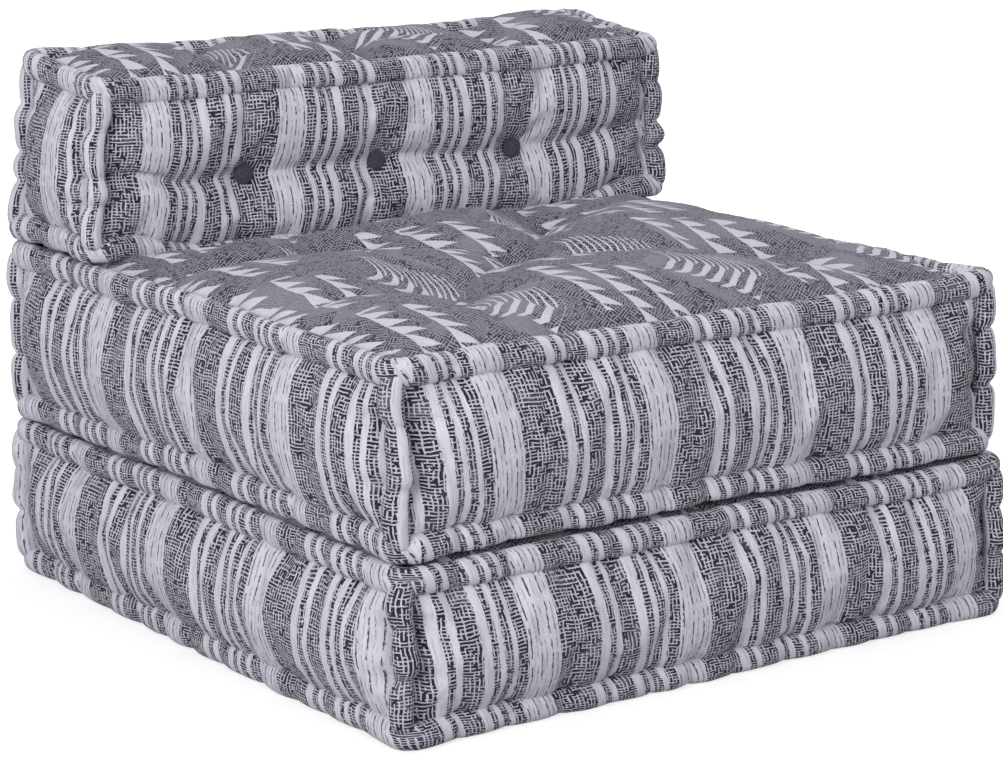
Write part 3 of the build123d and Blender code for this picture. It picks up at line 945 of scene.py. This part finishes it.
def add_cover(cushion):
    """The cover with its panels, bands and stuffing, as one sewn piece."""
    points, faces, coordinates, slots, held, give = cover_mesh(cushion)
    piece = new_piece(cushion.name + "_cover", points, faces, coordinates, [patterned, striped], slots)
    settle(piece, held, give)
    smooth(piece)
    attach(piece, cushion.body)
    panels = ["top_panel", "bottom_panel", "front_band", "rear_band", "left_band", "right_band"]
    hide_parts(*[cushion.name + "_" + part for part in panels + ["stuffing"]])


# Rolled edges

roll_step = 0.0032
corner_step = 0.003
loop_ring = 28
corner_ring = 24

# A rolled edge: its half thickness sideways, its rounded corners and its waist at a stitch
slim_radius = 0.0115
loop_bend = 0.013
loop_waist = 0.70
roll_swell = 0.012
stripe_slant = 0.25

# A corner roll: its waist, its place inside the corner, its bow, and its zigzag
corner_waist = 0.60
corner_cut = 0.004
corner_bow = 0.012
corner_swell = 0.016
corner_zigzag = 0.0034
corner_fullness = 1.10

upward = np.array((0.0, 0.0, 1.0))


def tube(centres, forwards, ups, radii, start, coordinates, closed):
    """A tube through rings, whose cloth meets itself at the angle start of each ring."""
    count, sides = radii.shape
    forwards, ups = np.broadcast_arrays(forwards, ups, centres)[:2]
    turn = start + 2 * np.pi * np.arange(sides) / sides
    sideways = np.cross(forwards, ups)
    ring = (
        np.cos(turn)[None, :, None] * sideways[:, None, :]
        + np.sin(turn)[None, :, None] * ups[:, None, :]
    )
    points = (centres[:, None, :] + ring * radii[:, :, None]).reshape(-1, 3)
    rows = np.arange(count if closed else count - 1)
    i, j = np.meshgrid(rows, np.arange(sides), indexing="ij")
    i, j = i.ravel(), j.ravel()
    after, beside = (i + 1) % count, (j + 1) % sides
    faces = np.stack([i * sides + j, i * sides + beside, after * sides + beside, after * sides + j], 1)
    around = np.stack([j, j + 1, j + 1, j], 1)
    row = np.stack([i, i, i, i], 1)
    ahead = np.tile([0, 0, 1, 1], (len(i), 1))
    places = coordinates(row.ravel(), ahead.ravel(), around.ravel() / sides)
    return points, faces, places


def loop_path(cushion, z, step):
    """Points round the seam with rounded corners: places, headings, side names and lengths."""
    bend = loop_bend
    half = cushion.size[:2] / 2
    centre = cushion.middle[:2]
    legs = [
        ("front", (-1, -1), (1, 0), half[0]), ("right", (1, -1), (0, 1), half[1]),
        ("rear", (1, 1), (-1, 0), half[0]), ("left", (-1, 1), (0, -1), half[1]),
    ]
    points, headings, sides, places = [], [], [], []
    for side, corner, heading, reach in legs:
        start = centre + np.array(corner) * half + np.array(heading) * bend
        straight = 2 * (reach - bend)
        count = max(2, int(straight / step))
        for index in range(count):
            share = index / count
            points.append(start + np.array(heading) * straight * share)
            headings.append(heading)
            sides.append(side)
            places.append(bend + straight * share)
        turn = np.array((-heading[1], heading[0]))
        pivot = start + np.array(heading) * straight + turn * bend
        arc = max(3, int(bend * np.pi / 2 / step))
        for index in range(arc):
            angle = index / arc * np.pi / 2
            out = -turn * np.cos(angle) + np.array(heading) * np.sin(angle)
            points.append(pivot + out * bend)
            headings.append(np.array(heading) * np.cos(angle) + turn * np.sin(angle))
            sides.append(side)
            places.append(2 * reach - bend + bend * angle)
    points = np.array([(p[0], p[1], z) for p in points])
    headings = np.array([(h[0], h[1], 0.0) for h in headings])
    return points, headings, np.array(sides), np.array(places)


def beads(place, length, pitch, waist, generator):
    """Radius shares along a seam: full between stitches and pinched at each."""
    phase, count = stitch_phase(place, length, pitch)
    swollen = np.abs(np.sin(np.pi * phase)) ** 0.5
    pull = generator.uniform(0.45, 1.15, count + 2)[np.round(phase).astype(int) % (count + 2)]
    fullness = generator.uniform(0.93, 1.07, count + 2)
    middles = np.arange(count + 2) + 0.5
    return (1 - (1 - waist) * pull * (1 - swollen)) * np.interp(phase, middles, fullness)


def add_loop(cushion, edge, generator):
    """The rolled edge round the top or bottom of a cushion."""
    top = edge == "top"
    z = cushion.high[2] if top else cushion.low[2]
    step = roll_step
    centres, forwards, sides, places = loop_path(cushion, z, step)
    width, depth, height = cushion.size
    lengths = {"front": width, "rear": width, "left": depth, "right": depth}
    share = np.ones(len(centres))
    for side, length in lengths.items():
        on = sides == side
        share[on] = beads(places[on], length, scallop_pitch, loop_waist, generator)
    count, ring = len(centres), loop_ring
    outward = np.cross(forwards, upward)
    centres = centres + outward * (0.0015 + roll_swell * (share - 0.93))[:, None]
    turn = 2 * np.pi * np.arange(ring) / ring
    flat = np.cos(turn)[None, :] ** 2
    upright_radius = roll_radius * (1 - 0.45 * (1 - share))[:, None]
    radii = upright_radius * (1 - flat) + slim_radius * share[:, None] * flat
    seeds = np.array([
        (c[0] + 0.02 * math.cos(t), c[1] + 0.02 * math.sin(t), c[2] + 0.02 * math.sin(t))
        for c in centres for t in turn
    ])
    lumps = rough(seeds, 34.0, 11).reshape(count, ring)
    radii = radii * (1 + 0.07 * lumps)
    lift = (height if top else 0.0) - height / 2
    wrap = 2 * np.pi * roll_radius
    gaps = np.linalg.norm(np.roll(centres, -1, axis=0) - centres, axis=1)

    def coordinates(row, ahead, share_round):
        result = np.zeros((len(row), 2))
        for side, length in lengths.items():
            on = sides[row] == side
            start, period, way, lean = cushion.stripes[side]
            along = places[row[on]] + ahead[on] * gaps[row[on]] + roll_radius
            slant = lean * lift + stripe_slant * (share_round[on] - 0.5) * wrap
            result[on, 0] = way * (along + slant - start) / period
            result[on, 1] = share_round[on] * wrap / stripe_period
        return result

    points, faces, places_round = tube(centres, forwards, upward, radii, np.pi, coordinates, True)
    points = posed(cushion, points)
    points[:, 2] = np.maximum(points[:, 2], 0.0004)
    name = cushion.name + "_" + edge + "_roll"
    piece = new_piece(name, points, faces, places_round, [striped])
    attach(piece, cushion.body)
    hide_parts(cushion.name + "_" + edge + "_rolled_edge")


def add_corner_rolls(cushion, generator):
    """The four upright corner rolls, bowed outward."""
    height = cushion.size[2]
    step = corner_step
    count, ring = max(8, int(height / step)), corner_ring
    rolls = []
    for side_x in (-1, 1):
        for side_y in (-1, 1):
            share = np.linspace(0, 1, count)
            foot = cushion.middle[:2] + np.array([side_x, side_y]) * (cushion.size[:2] / 2 - corner_cut)
            size = beads(share * height, height, corner_pitch, corner_waist, generator)
            phase = stitch_phase(share * height, height, corner_pitch)[0]
            bow = corner_bow * np.sin(np.pi * share) ** 0.8 + corner_swell * (size - 0.85)
            sideways = corner_zigzag * np.sin(np.pi * phase)
            centres = np.stack([
                foot[0] + side_x * (bow + sideways) / math.sqrt(2),
                foot[1] + side_y * (bow - sideways) / math.sqrt(2),
                cushion.low[2] + share * height,
            ], 1)
            outward = np.array((side_x, side_y, 0.0)) / math.sqrt(2)
            radii = corner_roll_radius * size[:, None] * np.ones(ring)[None, :]
            seeds = centres.repeat(ring, 0)
            lumps = rough(seeds, 40.0, 17).reshape(count, ring)
            radii = radii * (corner_fullness + 0.12 * lumps)
            side = "front" if side_y < 0 else "rear"
            start, period, way, lean = cushion.stripes[side]
            along = 0.0 if (side_x < 0) == (side_y < 0) else cushion.size[0]
            wrap = 2 * np.pi * corner_roll_radius

            def coordinates(row, ahead, share_round):
                repeats = way * (along - (share_round - 0.5) * wrap - start) / period
                return np.stack([repeats, (row + ahead) / (count - 1) * height / stripe_period], 1)

            rolls.append(tube(centres, upward, outward, radii, -np.pi / 2, coordinates, False))
    points, faces, places = joined(rolls)
    name = cushion.name + "_corner_rolls_cloth"
    piece = new_piece(name, posed(cushion, points), faces, places, [striped])
    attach(piece, cushion.body)
    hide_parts(cushion.name + "_corner_rolls")


# Buttons and ties

# A covered button: its radius and dome, its cells, and how far its cloth is tucked under
button_radius = 0.0115
button_dome = 0.0065
button_rings = 8
button_cells = 36
button_tuck = 0.62

# A tie: its cells, its twine's and knots' thickness, and half a knot's length
tie_count = 60
tie_ring = 12
twine_radius = 0.0010
knot_more = 0.0022
knot_half = 0.003
twine_turns = 90


def button_mesh(radius, dome, rings, sides):
    """A domed covered button about the origin, facing +Z, with its cloth tucked under."""
    angles = [index / rings * math.pi * button_tuck for index in range(1, rings + 1)]
    profile = [(radius * math.sin(angle), dome * math.cos(angle)) for angle in angles]
    points = [(0.0, 0.0, dome)]
    for reach, height in profile:
        for turn in range(sides):
            angle = 2 * math.pi * turn / sides
            ruffle = 1 + 0.02 * math.cos(angle * 9) * (reach / radius) ** 2
            points.append((reach * ruffle * math.cos(angle), reach * ruffle * math.sin(angle), height))
    faces = [(0, 1 + turn, 1 + (turn + 1) % sides) for turn in range(sides)]
    for ring in range(rings - 1):
        for turn in range(sides):
            a = 1 + ring * sides + turn
            b = 1 + ring * sides + (turn + 1) % sides
            faces.append((a, a + sides, b + sides, b))
    faces.append(tuple(1 + (rings - 1) * sides + turn for turn in range(sides))[::-1])
    return np.array(points), faces


def add_buttons(side, sign):
    """Three covered buttons in the pits of the back's front or rear."""
    cushion = cushions["back"]
    low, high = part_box("back_" + side + "_buttons")
    deep = high.y if sign < 0 else low.y
    points, faces = button_mesh(button_radius, button_dome, button_rings, button_cells)
    corners = [vertex for face in faces for vertex in face]
    buttons = []
    for x, y, z in separate_places("back_" + side + "_buttons"):
        seat = np.array([[x, deep + sign * 0.001, z - button_drop]])
        placed = np.stack([points[:, 0], sign * points[:, 2], points[:, 1] * -sign], 1)
        placed += posed(cushion, seat)
        buttons.append((placed, faces, placed[corners][:, [0, 2]] / stripe_period))
    name = "back_" + side + "_covered_buttons"
    piece = new_piece(name, *joined(buttons), [dark_button])
    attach(piece, cushion.body)
    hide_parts("back_" + side + "_buttons")


def add_ties(cushion, node, axis, drop=0.0):
    """The twine of each tuft or button: a thin twisted cord with a small knot at each end."""
    low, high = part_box(node)
    first, last = low[axis], high[axis]
    count, ring = tie_count, tie_ring
    share = np.linspace(0, 1, count)
    forward, sideways = np.eye(3)[axis], np.eye(3)[0]
    turn = 2 * np.pi * np.arange(ring) / ring
    ties = []
    for middle in separate_places(node):
        centres = np.tile(middle - np.array([0.0, 0.0, drop]), (count, 1))
        centres[:, axis] = first + share * (last - first)
        from_end = np.minimum(share, 1 - share) * (last - first)
        knot = np.sqrt(np.clip(1 - ((from_end - knot_half) / knot_half) ** 2, 0.0, 1.0))
        radii = twine_radius + knot_more * knot[:, None] * np.ones(ring)[None, :]
        radii = radii * (1 + 0.16 * np.cos(3 * turn[None, :] + share[:, None] * twine_turns))

        def coordinates(row, ahead, share_round):
            return np.stack([share_round * 0.05, (row + ahead) / count], 1)

        ties.append(tube(centres, forward, sideways, radii, 0.0, coordinates, False))
    points, faces, places = joined(ties)
    name = node.replace("_ties", "_twine")
    piece = new_piece(name, posed(cushion, points), faces, places, [waxed_twine])
    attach(piece, cushion.body)
    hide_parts(node)


generator = np.random.default_rng(7)
for cushion in cushions.values():
    add_cover(cushion)
    add_loop(cushion, "top", generator)
    add_loop(cushion, "bottom", generator)
    add_corner_rolls(cushion, generator)
    add_ties(cushion, cushion.name + "_tuft_ties", 2)
add_buttons("front", -1)
add_buttons("rear", 1)
add_ties(cushions["back"], "back_button_ties", 1, button_drop)
